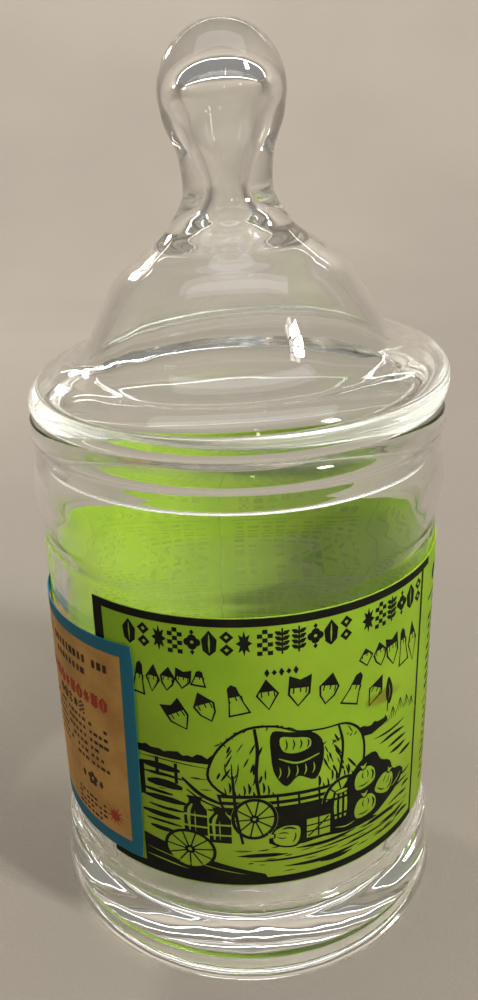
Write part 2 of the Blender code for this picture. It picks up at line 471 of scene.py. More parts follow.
def revolveTree():
    # sweeps a drawn section round the Z axis
    t = Tree("revolve", "Glass", Section="Geometry", Steps="Int", Rail="Float", Finish="Material")
    given = t.given
    line = t.add("GeometryNodeMeshToCurve", {"Mesh": given["Section"]})
    ring = t.add("GeometryNodeCurvePrimitiveCircle", {"Resolution": given["Steps"], "Radius": given["Rail"]})
    sweep = t.add("GeometryNodeCurveToMesh", {"Curve": ring, "Profile Curve": line})
    weld = t.add("GeometryNodeMergeByDistance", {"Geometry": sweep, "Distance": turned["weld"]})
    return t.done(weld, given["Finish"])


def turnedPiece(name, node, finish, revolve):
    t = turned
    line = flowing(section(node), t["sharpBend"], step=t["fineStep"] * mm)
    line = eased(line, t["sharpBend"], t["rounding"] * mm)
    mesh = bpy.data.meshes.new(name + "Section")
    points = [(p.x - t["rail"], -p.y, 0) for p in line]
    mesh.from_pydata(points, [(k, k + 1) for k in range(len(line) - 1)], [])
    piece = revolve.made(name, mesh, Steps=t["steps"], Rail=t["rail"], Finish=finish)
    print(name, len(line), "section points,", len(piece.data.vertices), "vertices")
    return piece


def smoothstep(low, high, value):
    t = min(max((value - low) / (high - low), 0.0), 1.0)
    return t * t * (3 - 2 * t)


def reshaped(piece, move, finishOf=None):
    bm = bmesh.new()
    bm.from_mesh(piece.data)
    bmesh.ops.recalc_face_normals(bm, faces=bm.faces)
    inside = {}
    for v in bm.verts:
        flat = Vector((v.co.x, v.co.y, 0))
        inside[v] = flat.length > 1e-6 and v.normal.dot(flat.normalized()) < 0
    for v in bm.verts:
        v.co = move(v.co.copy(), inside[v])
    for face in bm.faces:
        face.smooth = True
        if finishOf:
            face.material_index = finishOf(face)
    bm.to_mesh(piece.data)
    bm.free()


jarHand = {"innerWave": 0.28, "outerWave": 0.06, "waveScale": 26.0,
           "ridge": 0.15, "ridgeWide": 1.0, "ridgeAbove": 3.2}  # a faint ring where the shoulder starts
lidHand = {"lean": 1.9, "shift": 0.9, "wave": 0.34, "waveScale": 30.0, "seat": 138.8, "brimWide": 146.5}

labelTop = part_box("wrap_label")[1][2] / mm


def jarShape(co, inside):
    j = jarHand
    r = math.hypot(co.x, co.y)
    if r < 1e-6:
        return co
    wave = noise.noise(co * j["waveScale"] + Vector((3.1, 7.7, 1.3)))
    calm = smoothstep(0.0, 0.02, r)
    if inside:
        rim = 1 - smoothstep(0.118, 0.130, co.z)
        r2 = r + j["innerWave"] * mm * wave * calm * (0.25 + 0.75 * rim)
    else:
        r2 = r - j["outerWave"] * mm * abs(wave) * calm
        away = co.z / mm - labelTop - j["ridgeAbove"]
        r2 += j["ridge"] * mm * math.exp(-(away / j["ridgeWide"]) ** 2)
    return Vector((co.x * r2 / r, co.y * r2 / r, co.z))


def lidShape(co, inside):
    h = lidHand
    weight = smoothstep(h["seat"] * mm, h["brimWide"] * mm, co.z)
    above = smoothstep(h["brimWide"] * mm, (h["brimWide"] + 12) * mm, co.z)
    r = math.hypot(co.x, co.y)
    if r > 1e-6:
        offset = Vector((9.2, 1.4, 5.5)) if inside else Vector((0.6, 4.2, 8.8))
        wave = noise.noise(co * h["waveScale"] + offset)
        r2 = r + h["wave"] * mm * wave * above * smoothstep(0.0, 0.012, r)
        co = Vector((co.x * r2 / r, co.y * r2 / r, co.z))
    pivot = Vector((0, 0, h["brimWide"] * mm))
    leant = Matrix.Rotation(math.radians(-h["lean"]), 3, "Y") @ (co - pivot) + pivot
    leant.x += h["shift"] * mm
    return co.lerp(leant, weight)


def jarBody(glass, revolve):
    piece = turnedPiece("jarGlass", "jar_body", glass, revolve)
    reshaped(piece, jarShape)
    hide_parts("jar_body")
    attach(piece, "jar")
    return piece


def blownLid(glass, ground, revolve):
    piece = turnedPiece("lidGlass", "lid", glass, revolve)
    piece.data.materials.append(ground)
    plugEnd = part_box("lid")[0][2]

    def finishOf(face):
        low = all(v.co.z < plugEnd + groundGlass["band"] * mm for v in face.verts)
        return 1 if low else 0
    reshaped(piece, lidShape, finishOf)
    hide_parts("lid")
    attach(piece, "lid")
    return piece


# paper labels and their print

# sizes in label millimetres: x runs round the jar from the label's left edge, y up from its foot
panelRadius = 49.0
wrap = {"start": -42.6, "sweep": 318.0, "inside": 49.27, "thickness": 0.24, "ripple": 0.10, "column": 1.3,
        "row": 6.0, "frameLeft": 3.1, "frameTop": 2.2, "frameFoot": 2.5, "frameRight": (86.4, 87.5)}
side = {"inside": 49.92, "thickness": 0.22, "sweep": 87.3, "start": -118.0, "slant": 1.9, "border": 3.4,
        "ripple": 0.06, "column": 1.3, "row": 6.0,
        "wider": 3.2, "taller": 1.7}  # its top right corner is cut wide
paperEdge = {"nick": 0.10, "wornCorner": 0.5}
inkThickness = 0.022
inkGap = 0.004  # between the paper and its ink
throughShadeGap = 0.003  # between the paper's inner face and the painted print there: the shade the outer print casts in light passing through the paper, partly ink soaked through
inkColumn = 2.4  # widest step of the ink round the jar


def bentRound(flat, radius, start, turn=0.0, pivot=(0, 0), ripple=0.0, corner=None):
    # a flat point (x, y, lift) on the jar, with the paper's slight unevenness
    x, y, lift = flat
    if corner:
        share = x / corner["width"] * y / corner["height"]
        x, y = x + corner["wider"] * share, y + corner["taller"] * share
    if turn:
        c, s = math.cos(math.radians(turn)), math.sin(math.radians(turn))
        dx, dy = x - pivot[0], y - pivot[1]
        x, y = pivot[0] + c * dx - s * dy, pivot[1] + s * dx + c * dy
    angle = math.radians(start) + x / panelRadius
    wave = ripple * (0.5 + 0.5 * noise.noise(Vector((x * 0.06, y * 0.05, 4.0))))
    r = (radius + wave + lift) * mm
    return Vector((r * math.sin(angle), -r * math.cos(angle), y * mm))


def covered(outline, spots):
    # which spots an outline winds round
    x, y = spots[:, 0], spots[:, 1]
    turns = np.zeros(len(spots), dtype=int)
    for a, b in zip(outline, outline[1:] + outline[:1]):
        leftward = (b.x - a.x) * (y - a.y) - (x - a.x) * (b.y - a.y)
        turns += ((a.y <= y) & (b.y > y) & (leftward > 0)).astype(int)
        turns -= ((a.y > y) & (b.y <= y) & (leftward < 0)).astype(int)
    return turns != 0


def overlay(shapes, columns):
    # painter's order: a later shape covers an earlier one, and bare shapes leave paper
    points, edges = [], []
    for shape in shapes:
        first, count = len(points), len(shape["outline"])
        points += shape["outline"]
        edges += [(first + k, first + (k + 1) % count) for k in range(count)]
    low = min(p.y for p in points) - 1
    high = max(p.y for p in points) + 1
    left = min(p.x for p in points)
    right = max(p.x for p in points)
    x = math.ceil(left / columns) * columns
    while x < right:
        edges.append((len(points), len(points) + 1))
        points += [Vector((x, low)), Vector((x, high))]
        x += columns
    found = delaunay_2d_cdt(points, edges, [], 0, 1e-4, False)
    corners = np.array([p[:] for p in found[0]])
    triangles = [t for t in found[2] if len(t) == 3]
    spots = corners[np.array(triangles)].mean(axis=1)
    top = np.full(len(triangles), -1)
    for index, shape in enumerate(shapes):
        outline = shape["outline"]
        box = [f(p[k] for p in outline) for k in (0, 1) for f in (min, max)]
        near = np.flatnonzero((spots[:, 0] > box[0]) & (spots[:, 0] < box[1])
                              & (spots[:, 1] > box[2]) & (spots[:, 1] < box[3]))
        top[near[covered(outline, spots[near])]] = index
    return found[0], [t for t, owner in zip(triangles, top) if owner >= 0 and shapes[owner]["ink"]]


def inked(name, shapes, finish, place):
    # a thin closed layer of ink on the paper
    points, kept = overlay(shapes, inkColumn)
    bm = bmesh.new()
    used = {}
    for corners in kept:
        for i in corners:
            if i not in used:
                used[i] = bm.verts.new((points[i].x, points[i].y, 0))
    for corners in kept:
        try:
            bm.faces.new([used[i] for i in corners])
        except ValueError:
            continue
    bmesh.ops.recalc_face_normals(bm, faces=bm.faces)
    back = bmesh.ops.extrude_face_region(bm, geom=list(bm.faces))
    for part in back["geom"]:
        if isinstance(part, bmesh.types.BMVert):
            part.co.z = inkThickness
    for v in bm.verts:
        v.co = bentRound((v.co.x, v.co.y, v.co.z + inkGap), **place)
    bmesh.ops.recalc_face_normals(bm, faces=bm.faces)
    return keepMesh(name, bm, [finish], smooth=False)


def sheetOfPaper(name, width, height, options, finish, place):
    # a closed sheet with UVs in label units
    columns = math.ceil(width / options["column"])
    rows = math.ceil(height / options["row"])
    bm = bmesh.new()
    uv = bm.loops.layers.uv.new("label")
    thick = options["thickness"]
    flat = {}
    layers = []
    for lift in (0.0, thick):
        grid = []
        for i in range(columns + 1):
            line = []
            for k in range(rows + 1):
                x, y = width * i / columns, height * k / rows
                if i in (0, columns) and k in (0, rows):
                    x += paperEdge["wornCorner"] * (1 if i == 0 else -1)
                nick = paperEdge["nick"] * noise.noise(Vector((x * 0.5, y * 0.5, 1.5)))
                if i in (0, columns):
                    x += nick
                if k in (0, rows):
                    y += nick
                v = bm.verts.new(bentRound((x, y, lift), **place))
                flat[v] = (x, y)
                line.append(v)
            grid.append(line)
        layers.append(grid)
    inner, outer = layers
    quads = []
    for i in range(columns):
        for k in range(rows):
            quads.append((outer[i][k], outer[i + 1][k], outer[i + 1][k + 1], outer[i][k + 1]))
            quads.append((inner[i][k], inner[i][k + 1], inner[i + 1][k + 1], inner[i + 1][k]))
        quads.append((inner[i][0], inner[i + 1][0], outer[i + 1][0], outer[i][0]))
        quads.append((inner[i][rows], outer[i][rows], outer[i + 1][rows], inner[i + 1][rows]))
    for k in range(rows):
        quads.append((inner[0][k], outer[0][k], outer[0][k + 1], inner[0][k + 1]))
        quads.append((inner[columns][k], inner[columns][k + 1], outer[columns][k + 1], outer[columns][k]))
    for quad in quads:
        face = bm.faces.new(quad)
        for loop in face.loops:
            x, y = flat[loop.vert]
            loop[uv].uv = (x / 100, y / 100)
    piece = keepMesh(name, bm, [finish])
    piece.data.set_sharp_from_angle(angle=math.radians(50))
    return piece


# shapes of the print, each a closed outline in label millimetres

def area(outline, ink=True):
    return {"outline": [Vector(p[:2]) for p in outline], "ink": ink}


def bar(x0, y0, x1, y1, ink=True):
    return area([(x0, y0), (x1, y0), (x1, y1), (x0, y1)], ink)


def disc(x, y, rx, ry=None, ink=True, sides=18):
    turns = [k * math.tau / sides for k in range(sides)]
    return area([(x + rx * math.cos(a), y + (ry or rx) * math.sin(a)) for a in turns], ink)


def soft(points, ink=True, parts=4):
    # a rounded outline through the points
    return area(flowing([Vector(p) for p in points], closed=True, parts=parts), ink)


def stroke(points, width, tip=0.15, ink=True, parts=4):
    # a brush line that swells in the middle and thins to its ends
    line = flowing([Vector(p) for p in points], parts=parts)
    left, right = [], []
    for i, p in enumerate(line):
        t = i / (len(line) - 1)
        ends = tip + (1 - tip) * min(1.0, min(t, 1 - t) * 3.5)
        along = (line[min(i + 1, len(line) - 1)] - line[max(i - 1, 0)]).normalized()
        across = Vector((-along.y, along.x)) * width / 2 * ends
        left.append(p + across)
        right.append(p - across)
    return area(left + right[::-1], ink)


def strokes(*lines, ink=True, parts=4):
    # brush lines, each given as its points, width and tip
    return [stroke(points, width, tip, ink, parts) for points, width, tip in lines]


def stepped(count, first, step):
    return [(k, first + step * k) for k in range(count)]


def ringOf(x, y, r, width, ry=None):
    ry = ry or r
    return [disc(x, y, r, ry, sides=28), disc(x, y, r - width, ry - width, ink=False, sides=28)]


# ornaments that fill the places of words, none of them a letter

def lozenge(x, y, w, h, ink=True):
    return area([(x, y - h / 2), (x + w / 2, y), (x, y + h / 2), (x - w / 2, y)], ink)


def heavyOrnament(kind, x, y, w, h):
    low, high = y - h / 2, y + h / 2
    if kind == 0:
        # a leaf with a bare vein
        leaf = [(x, high), (x + w * 0.50, y + h * 0.14), (x + w * 0.42, y - h * 0.30), (x, low),
                (x - w * 0.42, y - h * 0.30), (x - w * 0.50, y + h * 0.14)]
        vein = [(x, y + h * 0.34), (x, y - h * 0.36)]
        return [area(leaf), stroke(vein, w * 0.13, 0.3, ink=False, parts=2)]
    if kind == 1:
        # a flower of four petals between two dots
        petals = [disc(x + w * 0.26 * u, y + w * 0.26 * v, w * 0.30, sides=12)
                  for u, v in ((1, 0), (-1, 0), (0, 1), (0, -1))]
        dots = [lozenge(x, level, w * 0.3, h * 0.22) for level in (high - h * 0.11, low + h * 0.11)]
        return petals + [disc(x, y, w * 0.12, ink=False, sides=8)] + dots
    if kind == 2:
        # an ear of wheat
        grains = [stroke([(x, y + h * k), (x + w * 0.46 * turn, y + h * (k + 0.15))], w * 0.34, 0.3, parts=2)
                  for k in (-0.36, -0.16, 0.04, 0.24) for turn in (-1, 1)]
        return grains + [bar(x - w * 0.06, low, x + w * 0.06, high)]
    if kind == 3:
        # checks
        left, wide, tall = x - w / 2, w / 3, h / 6
        return [bar(left + wide * k, low + tall * r, left + wide * (k + 1), low + tall * (r + 1))
                for k in range(3) for r in range(6) if (k + r) % 2 == 0]
    if kind == 4:
        # a tall star
        ring = []
        for k in range(16):
            wide, tall = (0.27, 0.27) if k % 2 else (0.52, 0.5)
            ring.append((x + w * wide * math.sin(k * math.pi / 8), y + h * tall * math.cos(k * math.pi / 8)))
        return [area(ring)]
    # a pair of lozenges
    return [lozenge(x, y + h * 0.25 * side, w * wide, h * tall, ink)
            for wide, tall, ink in ((0.9, 0.48, True), (0.3, 0.16, False)) for side in (1, -1)]


def headingRow():
    # a heavy row of ornaments in groups
    shapes = []
    groups = ((9.0, 4, 0), (24.0, 4, 1), (39.6, 2, 3), (47.0, 4, 2), (64.2, 6, 4))
    for left, count, first in groups:
        for k in range(count):
            kind = (first + k * 5) % 6
            shapes += heavyOrnament(kind, left + 1.7 + k * 3.72, 68.2, 3.4, 6.4)
    return shapes


def hollowOrnament(kind, x, y, w, h, lean, fill):
    # an outlined leaf, shield, bell or lozenge with a dark upper part
    c, s = math.cos(lean), math.sin(lean)

    def at(points):
        return [(x + c * u - s * v, y + s * u + c * v) for u, v in points]
    a, b = w / 2, h / 2
    outlines = (
        [(0, -b), (a * 0.75, -b * 0.45), (a, b * 0.15), (0, b), (-a, b * 0.15), (-a * 0.75, -b * 0.45)],
        [(0, -b), (a, 0), (0, b), (-a, 0)],
        [(-a, -b), (a, -b), (a * 0.62, -b * 0.1), (a * 0.4, b * 0.8), (0, b), (-a * 0.4, b * 0.8),
         (-a * 0.62, -b * 0.1)],
        [(0, -b), (a, -b * 0.2), (a, b), (0, b * 0.72), (-a, b), (-a, -b * 0.2)],
    )
    outline = outlines[kind]
    line = hollowLine
    inner = [(u * (1 - line / max(a, 0.8)), v * (1 - line * 0.9 / max(b, 0.8))) for u, v in outline]
    shapes = [area(at(outline)), area(at(inner), False)]
    dark = clipAbove(inner, b - h * fill)
    if len(dark) > 2:
        shapes.append(area(at(dark)))
        for k in (-0.5, 0.1, 0.6):
            # the dark top ends in drips
            drip = [(a * k, b - h * fill + 0.1), (a * k, b - h * (fill + 0.12 + 0.1 * abs(k)))]
            shapes.append(stroke(at(drip), w * 0.14, 0.4, parts=1))
    return shapes


hollowLine = 0.52


def clipAbove(outline, level):
    # the part of an outline above a level
    out = []
    for (u0, v0), (u1, v1) in zip(outline, outline[1:] + outline[:1]):
        if v0 >= level:
            out.append((u0, v0))
        if (v0 >= level) != (v1 >= level):
            t = (level - v0) / (v1 - v0)
            out.append((u0 + (u1 - u0) * t, level))
    return out


def wingRows():
    # two leaning groups at the sides, and a small row between them
    shapes = []
    for k in range(5):
        x, size = 12.4 + 3.6 * k, 8.8 - 1.15 * k
        shapes += hollowOrnament((k * 3 + 2) % 4, x, 61.1 - size / 2, 3.7, size, -0.10, 0.42)
    for k in range(5):
        x, size = 65.6 + 4.3 * k, 5.0 + 1.7 * k
        shapes += hollowOrnament((k * 3 + 1) % 4, x, 61.2 - size / 2, 4.3, size, 0.12, 0.32)
    for k in range(5):
        shapes += [lozenge(41.6 + 1.6 * k, 60.5, 1.2, 1.5 if k % 2 else 2.2)]
    return shapes


def archedRow():
    # larger blocks on an arch
    shapes = []
    radius, middle, top = 46.0, 45.2, 56.0
    for k in range(8):
        a = math.radians(-31 + 62 * k / 7)
        x, y = middle + radius * math.sin(a), top - radius * (1 - math.cos(a))
        shapes += hollowOrnament((3, 0, 2, 1)[k % 4], x, y - 1.0, 5.2, 8.2, -a * 1.0, 0.40)
    return shapes


def wheel(x, y, r, spokes=10, width=0.7, turn=0.2, ry=None):
    ry = ry or r
    shapes = ringOf(x, y, r, width, ry)
    for k in range(spokes):
        a = turn + k * math.tau / spokes
        tip = (x + (r - width / 2) * math.cos(a), y + (ry - width / 2) * math.sin(a))
        shapes.append(stroke([(x, y), tip], 0.42, 0.9, parts=1))
    shapes += [disc(x, y, r * 0.2, ry * 0.2), disc(x, y, r * 0.08, ink=False, sides=8)]
    return shapes


def hedge():
    rng = random.Random(11)
    crown = [(10.6 + 1.15 * k, 37.6 + rng.uniform(-0.2, 1.1)) for k in range(18)]
    shapes = [area([(10.6, 36.0), (31.0, 35.9)] + crown[::-1])]
    crown = [(64.5 + 1.1 * k, 39.2 + rng.uniform(0.0, 1.3) * (1 if k < 6 else 0.3)) for k in range(9)]
    shapes.append(area([(64.5, 37.4), (68, 36.6), (73.4, 37.9)] + crown[::-1]))
    shapes.append(stroke([(10.6, 35.0), (18, 35.3), (29, 34.7)], 0.3))
    return shapes


def fence():
    # broken rails and posts at the left
    rng = random.Random(5)
    shapes = [bar(10.6, 23.4, 11.9, 33.2), bar(15.0, 30.5, 15.9, 35.6), bar(19.8, 29.0, 20.6, 34.8)]
    for row, y in enumerate((32.9, 30.6, 28.0, 25.6, 23.6, 21.2, 18.9, 16.6, 14.6)):
        right = 21.5 + rng.uniform(-2.5, 1.0)
        left = 10.8 + (row % 3) * 0.9
        weight = (1.9, 0.8, 2.3, 0.9, 1.7, 0.8, 1.5, 0.7, 1.3)[row]
        rail = [(left, y), ((left + right) / 2, y + rng.uniform(-0.4, 0.4)), (right, y - 0.2)]
        shapes.append(stroke(rail, weight, 0.4))
    return shapes


def hayWagon():
    # a high load of hay on a wagon, bound with a dark cloth and a strap
    rng = random.Random(23)
    load = [(27.6, 31.5), (28.6, 37.5), (31.8, 42.6), (37.0, 46.4), (43.0, 46.6), (48.5, 44.4),
            (54.5, 43.6), (60.5, 43.2), (64.6, 39.8), (66.2, 34.0), (65.0, 27.8), (55, 25.8), (44, 25.6),
            (33, 26.4)]
    inner = [(46.4 + (x - 46.4) * 0.965, 35.2 + (y - 35.2) * 0.945) for x, y in load]
    shapes = [soft(load), soft(inner, False)]
    # loose hay along the top
    for k in range(26):
        t = k / 25
        x = 29.5 + 34 * t
        y = 39.5 + 7.2 * math.sin(math.pi * min(1.0, t * 1.35 + 0.05)) ** 0.8
        y = min(y, 46.8)
        dx, dy = rng.uniform(-1.8, 1.8), rng.uniform(-1.6, 1.0)
        shapes.append(stroke([(x, y), (x + dx * 0.5, y + dy * 0.4), (x + dx, y + dy)], 0.34, 0.2, parts=2))
    # hatching inside the load
    for k in range(58):
        x = rng.uniform(30.5, 63.5)
        y = rng.uniform(28.5, 42.5)
        if abs(x - 48) < 6.4 and y > 29:
            continue
        tilt = (x - 46) * 0.035 + rng.uniform(-0.25, 0.25)
        reach = rng.uniform(1.6, 3.8)
        straw = [(x, y), (x + tilt * reach * 0.5, y - reach * 0.5), (x + tilt * reach, y - reach)]
        shapes.append(stroke(straw, rng.uniform(0.26, 0.62), 0.2, parts=2))
    # shading towards the foot of the load
    for k in range(30):
        x = 31.5 + 1.1 * k
        if abs(x - 48) > 5.0:
            y = 29.6 + 1.6 * math.sin(k * 1.7)
            straw = [(x, y), (x + 0.3, y - 1.6), (x + 0.1, y - 3.2)]
            shapes.append(stroke(straw, rng.uniform(0.35, 0.75), 0.2, parts=2))
    # dark cloth over the middle, with a pale edge and folds
    cloth = [(42.6, 44.8), (46.5, 44.2), (51.5, 43.4), (54.2, 40.5), (54.6, 35.0), (52.6, 29.8),
             (48.6, 31.6), (45.8, 29.2), (43.2, 32.6), (42.2, 38.6)]
    edge = [(44.4, 43.0), (47.6, 42.6), (51.2, 41.6), (51.4, 39.4), (48.2, 38.2), (45.0, 39.2)]
    shapes += [soft(cloth), soft(edge, False)]
    shapes += [stroke([(x, 42.4 - 0.3 * k), (x + 0.3, 40.6), (x - 0.1, 39.2)], 0.36, 0.3)
               for k, x in stepped(4, 45.6, 1.7)]
    shapes.append(stroke([(44.0, 37.2), (48.4, 35.4), (53.6, 36.8)], 0.55, 0.5, ink=False))
    shapes += [stroke([(x, 34.8), (x + 0.2, 33.0), (x - 0.3, 31.6)], 0.34, 0.2, ink=False)
               for k, x in stepped(5, 44.2, 2.0)]
    # straps, and the bed with its boards
    shapes += strokes(([(38.6, 46.0), (39.2, 40.0), (38.8, 33.0), (39.4, 27.0)], 0.85, 0.8),
                      ([(58.4, 43.2), (59.6, 38.0), (59.2, 31.0), (58.4, 27.0)], 0.7, 0.8))
    shapes += [area([(29.6, 27.6), (66.8, 26.8), (66.4, 21.6), (31.0, 22.6)]),
               area([(30.6, 26.6), (65.8, 25.9), (65.7, 25.0), (30.8, 25.6)], False),
               area([(31.0, 24.6), (65.4, 24.1), (65.3, 23.4), (31.4, 23.8)], False)]
    shapes += [stroke([(x, 27.2), (x + 0.2, 22.6)], 0.6, 0.9, parts=1) for k, x in stepped(7, 33.6, 5.0)]
    # shade under the bed, and the shaft at the front
    shapes.append(soft([(31.6, 22.4), (36.0, 19.6), (43.0, 16.4), (50.0, 15.2), (58.0, 15.6), (64.0, 17.6),
                        (66.0, 21.8), (52.0, 22.2), (40.0, 22.4)]))
    shapes += [stroke([(x, 18.2 - 0.2 * k), (x + 3.2, 17.6), (x + 5.6, 18.4)], 0.36, 0.2, ink=False)
               for k, x in stepped(5, 43.0, 2.3)]
    return shapes + strokes(([(31.0, 24.6), (26.0, 27.0), (21.6, 31.2)], 1.0, 0.6),
                            ([(31.0, 23.4), (26.4, 25.2), (22.6, 28.0)], 0.5, 0.6))


def wagonWheels():
    shapes = [disc(38.2, 20.4, 5.5, 6.2, ink=False, sides=28)] + wheel(38.2, 20.4, 5.4, 10, 0.85, 0.1, 6.1)
    shapes += [disc(60.2, 21.4, 5.9, 6.8, ink=False, sides=28)] + wheel(60.2, 21.4, 5.8, 12, 0.9, 0.3, 6.7)
    return shapes


def churns():
    # two milk churns and a fork beside the wagon
    shapes = []
    for x, y, w, h in ((24.4, 20.6, 5.6, 11.4), (30.2, 18.4, 5.2, 10.6)):
        profile = ((0.5, -0.5), (0.5, 0.16), (0.26, 0.34), (0.26, 0.42), (0.36, 0.5))
        shapes.append(area([(x + w * u, y + h * v) for u, v in profile]
                           + [(x - w * u, y + h * v) for u, v in profile[::-1]]))
        shine = [(x - w * 0.27, y - h * 0.42), (x - w * 0.28, y + h * 0.1), (x - w * 0.12, y + h * 0.3)]
        shapes.append(stroke(shine, 0.8, 0.4, ink=False))
        shine = [(x - w * 0.02, y - h * 0.42), (x - w * 0.02, y + h * 0.12)]
        shapes.append(stroke(shine, 0.35, 0.3, ink=False, parts=2))
        for low, high in ((-0.02, 0.03), (-0.31, -0.26)):
            shapes.append(bar(x - w / 2, y + h * low, x + w / 2, y + h * high, False))
    shapes.append(stroke([(35.4, 13.0), (34.0, 22.0), (33.4, 33.0)], 0.7, 0.9))
    for k in range(3):
        prong = [(33.4, 32.0), (32.0 + 1.3 * k, 33.6), (31.8 + 1.5 * k, 36.4)]
        shapes.append(stroke(prong, 0.36, 0.5, parts=2))
    return shapes


def sack(x, y, w, h, turn=0.0):
    # a tied sack, bare paper with a dark edge and two creases
    c, s = math.cos(turn), math.sin(turn)

    def at(points):
        return [(x + c * u * w - s * v * h, y + s * u * w + c * v * h) for u, v in points]
    body = [(-0.42, -0.46), (0.40, -0.48), (0.50, 0.0), (0.30, 0.36), (0.10, 0.44), (-0.12, 0.44),
            (-0.34, 0.34), (-0.50, -0.04)]
    shapes = [soft(at([(u * 1.16, v * 1.16) for u, v in body])), soft(at(body), False)]
    shapes.append(area(at([(-0.06, 0.42), (0.05, 0.42), (0.16, 0.66), (0.0, 0.58), (-0.16, 0.66)]), False))
    return shapes + strokes((at([(-0.14, 0.42), (0.0, 0.38), (0.12, 0.42)]), 0.4, 0.6),
                            (at([(0.34, 0.16), (0.40, -0.1), (0.30, -0.38)]), 0.55, 0.2),
                            (at([(-0.06, 0.30), (-0.12, 0.1), (-0.08, -0.06)]), 0.3, 0.2),
                            (at([(0.12, 0.28), (0.16, 0.05), (0.10, -0.12)]), 0.3, 0.2),
                            (at([(-0.36, -0.3), (-0.1, -0.38), (0.16, -0.36)]), 0.35, 0.2))


def barrel(x, y, w, h):
    side = [(x - w * 0.40, y - h / 2), (x + w * 0.40, y - h / 2), (x + w / 2, y), (x + w * 0.40, y + h / 2),
            (x - w * 0.40, y + h / 2), (x - w / 2, y)]
    shapes = [area(side)]
    for k in range(3):
        u = -0.30 + 0.26 * k
        stave = [(x + w * u * 0.85, y - h * 0.44), (x + w * u, y), (x + w * u * 0.85, y + h * 0.44)]
        shapes.append(stroke(stave, w * 0.14, 0.7, ink=False))
    for level in (-0.30, 0.28):
        shapes.append(bar(x - w * 0.48, y + h * level - 0.35, x + w * 0.48, y + h * level + 0.35))
    shapes += [disc(x, y + h / 2, w * 0.40, h * 0.10), disc(x, y + h / 2, w * 0.30, h * 0.06, ink=False)]
    return shapes


def sacks():
    # a dark pile at the right: sacks, a crate and a barrel
    pile = [(41.5, 12.9), (48, 11.4), (55, 11.9), (62, 10.8), (70, 11.6), (74.0, 13.4), (78.6, 15.6),
            (81.4, 18.4), (79.6, 20.8), (76.6, 22.0), (75.0, 25.4), (71.6, 27.6), (69.4, 31.0), (65.4, 30.6),
            (62.0, 27.4), (58.4, 23.4), (53.0, 21.4), (48.0, 20.8), (43.4, 18.0)]
    shapes = [soft(pile, parts=3)]
    shapes += sack(66.4, 25.0, 6.4, 6.0, 0.15)
    shapes += barrel(59.6, 19.6, 5.6, 8.4)
    shapes += sack(73.6, 19.8, 6.6, 5.8, -0.5)
    shapes += sack(66.8, 16.4, 6.8, 6.2, 0.1)
    # crate
    shapes.append(area([(50.6, 12.8), (56.6, 12.6), (56.6, 18.2), (50.6, 18.4)], False))
    shapes += [bar(50.6, 14.4, 56.6, 14.8), bar(50.6, 16.2, 56.6, 16.6), bar(53.4, 12.8, 53.8, 18.4)]
    shapes.append(stroke([(51.0, 13.2), (56.2, 17.8)], 0.45, 0.9, parts=1))
    # a sack on its side in front
    shapes += sack(45.4, 14.6, 6.0, 6.6, 1.45)
    return shapes + strokes(([(76.2, 16.6), (78.4, 17.4), (80.2, 19.0)], 0.45, 0.3),
                            ([(58.0, 13.4), (61.0, 12.6), (63.6, 13.0)], 0.4, 0.3), ink=False)


def groundWedge():
    # the dark bank in the near left corner, with a cart wheel leaning on it
    bank = [(10.5, 11.6), (15.5, 10.6), (21.5, 9.0), (28.0, 7.4), (34.0, 5.6), (40.5, 3.6), (41.2, 2.2),
            (10.5, 2.2)]
    return ([area(bank)] + wheel(22.6, 10.0, 6.5, 11, 0.8, 0.15, 6.0)
            + strokes(([(11.0, 7.4), (17, 6.6), (25, 5.2)], 0.35, 0.2),
                      ([(11.0, 5.0), (16, 4.6), (22, 3.7)], 0.5, 0.2),
                      ([(24, 6.2), (30, 4.8), (36, 3.6)], 0.3, 0.2), ink=False))


def stooks():
    # sheaves on the far field and a slim tree
    shapes = []
    sheaves = ((75.4, 37.6, 3.2), (78.4, 38.4, 3.4), (81.4, 37.8, 3.2), (84.0, 36.6, 2.6), (72.6, 37.2, 2.6))
    for x, y, size in sheaves:
        for lean in (-0.45, -0.16, 0.16, 0.45):
            shapes.append(stroke([(x, y + size), (x + lean * size, y)], 0.34, 0.5, parts=1))
    crown = [(73.2, 50.2), (74.6, 47.6), (74.9, 44.6), (73.9, 42.4), (72.8, 44.0), (72.4, 47.2)]
    return shapes + [stroke([(73.2, 40.6), (73.3, 44.8), (73.2, 49.6)], 0.42, 0.8), soft(crown),
                     stroke([(73.4, 48.2), (73.9, 45.6), (73.5, 43.8)], 0.3, 0.2, ink=False)]


